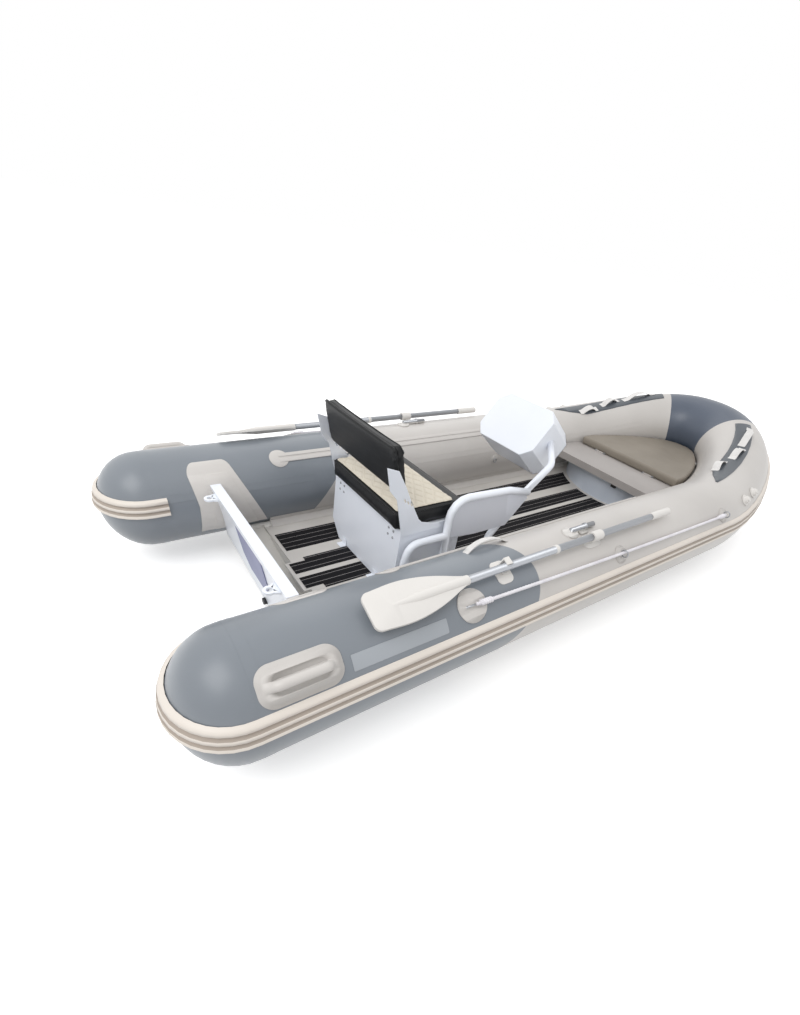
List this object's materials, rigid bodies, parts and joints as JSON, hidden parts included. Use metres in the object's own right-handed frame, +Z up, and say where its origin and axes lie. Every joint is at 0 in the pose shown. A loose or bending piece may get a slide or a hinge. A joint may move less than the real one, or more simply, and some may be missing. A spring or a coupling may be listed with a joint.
{
  "type": "rigid inflatable boat",
  "caption": "Open rigid inflatable boat with a V hull, full bow tubes, ribbed rub strake, helm seat, side-mounted console pod, bow locker with cushion, and stowed oars.",
  "frame": {"origin": "on the centreline at the waterline, 0.2 m aft of the transom top, above the tube tails", "axes": "+X to the bow, +Y to port, +Z up"},
  "size_m": [4.2119, 1.7444, 0.8244],
  "materials": {
    "tube_dark": "satin",
    "tube_light": "satin",
    "bow_dark": "satin",
    "strake": "satin",
    "patch_light": "satin",
    "hull_paint": "satin",
    "deck_paint": "satin",
    "mat_black": "matte",
    "white_paint": "satin",
    "pad_plastic": "matte",
    "bare_metal": "satin",
    "steel": "satin",
    "dark_plastic": "matte",
    "cushion_black": "satin",
    "cushion_cream": "satin",
    "cushion_taupe": "satin",
    "panel_grey": "satin",
    "locker_paint": "satin",
    "line_white": "matte",
    "oar_cream": "satin",
    "lid_paint": "satin"
  },
  "bodies": {
    "boat": {"backrest_board": "cushion_black", "backrest_pad": "cushion_black", "bow_cushion": "cushion_taupe", "bow_deck": "lid_paint", "bow_handle_patches": "bow_dark", "console_frame": "white_paint", "console_panel": "panel_grey", "console_pod": "white_paint", "console_pod_cover": "dark_plastic", "deck": "deck_paint", "deck_bond_strips": "patch_light", "deck_mats_inner": "mat_black", "deck_mats_outer": "mat_black", "drain_plug": "dark_plastic", "grab_handle_port": "patch_light", "grab_handle_starboard": "patch_light", "hull": "hull_paint", "hull_bow": "hull_paint", "hull_stern": "hull_paint", "inner_bands": "patch_light", "lid_hinges": "steel", "lifelines": "line_white", "lifting_eyes": "white_paint", "line_anchors": "patch_light", "line_rings": "patch_light", "locker_front": "locker_paint", "locker_latch": "dark_plastic", "oar_clips": "oar_cream", "oarlock_base_port": "oar_cream", "oarlock_base_starboard": "oar_cream", "rub_strake_port": "strake", "rub_strake_starboard": "strake", "seat_box": "white_paint", "seat_brackets": "white_paint", "seat_cushion": "cushion_black", "seat_feet": "white_paint", "seat_panel": "cushion_cream", "side_plate_starboard": "patch_light", "top_straps": "line_white", "transom": "white_paint", "transom_pads": "pad_plastic", "transom_patches": "patch_light", "transom_rail": "white_paint", "tube_aft_port": "tube_dark", "tube_aft_starboard": "tube_dark", "tube_bow": "bow_dark", "tube_forward_port": "tube_light", "tube_forward_starboard": "tube_light", "tube_tail_port": "tube_dark", "tube_tail_starboard": "tube_dark", "tube_valves": "dark_plastic"},
    "lid": {"locker_lid": "lid_paint"},
    "oar_port": {"oar_shaft_port": "bare_metal", "oar_grip_port": "oar_cream", "oar_blade_port": "oar_cream", "oar_collar_port": "oar_cream"},
    "oar_starboard": {"oar_shaft_starboard": "bare_metal", "oar_grip_starboard": "oar_cream", "oar_blade_starboard": "oar_cream", "oar_collar_starboard": "oar_cream"}
  },
  "joints": [
    {"name": "lid_hinge", "type": "hinge", "parent": "boat", "child": "lid", "pos_m": [2.784, 0, 0.263], "axis": [0, 1, 0], "range_deg": [0, 88]},
    {"name": "oar_port_swing", "type": "hinge", "parent": "boat", "child": "oar_port", "pos_m": [1.438, 0.73073, 0.40717], "axis": [0, 0.3987, 0.9171], "range_deg": [-48, 0]},
    {"name": "oar_starboard_swing", "type": "hinge", "parent": "boat", "child": "oar_starboard", "pos_m": [1.438, -0.73073, 0.40717], "axis": [0, -0.3987, 0.9171], "range_deg": [0, 48]}
  ]
}
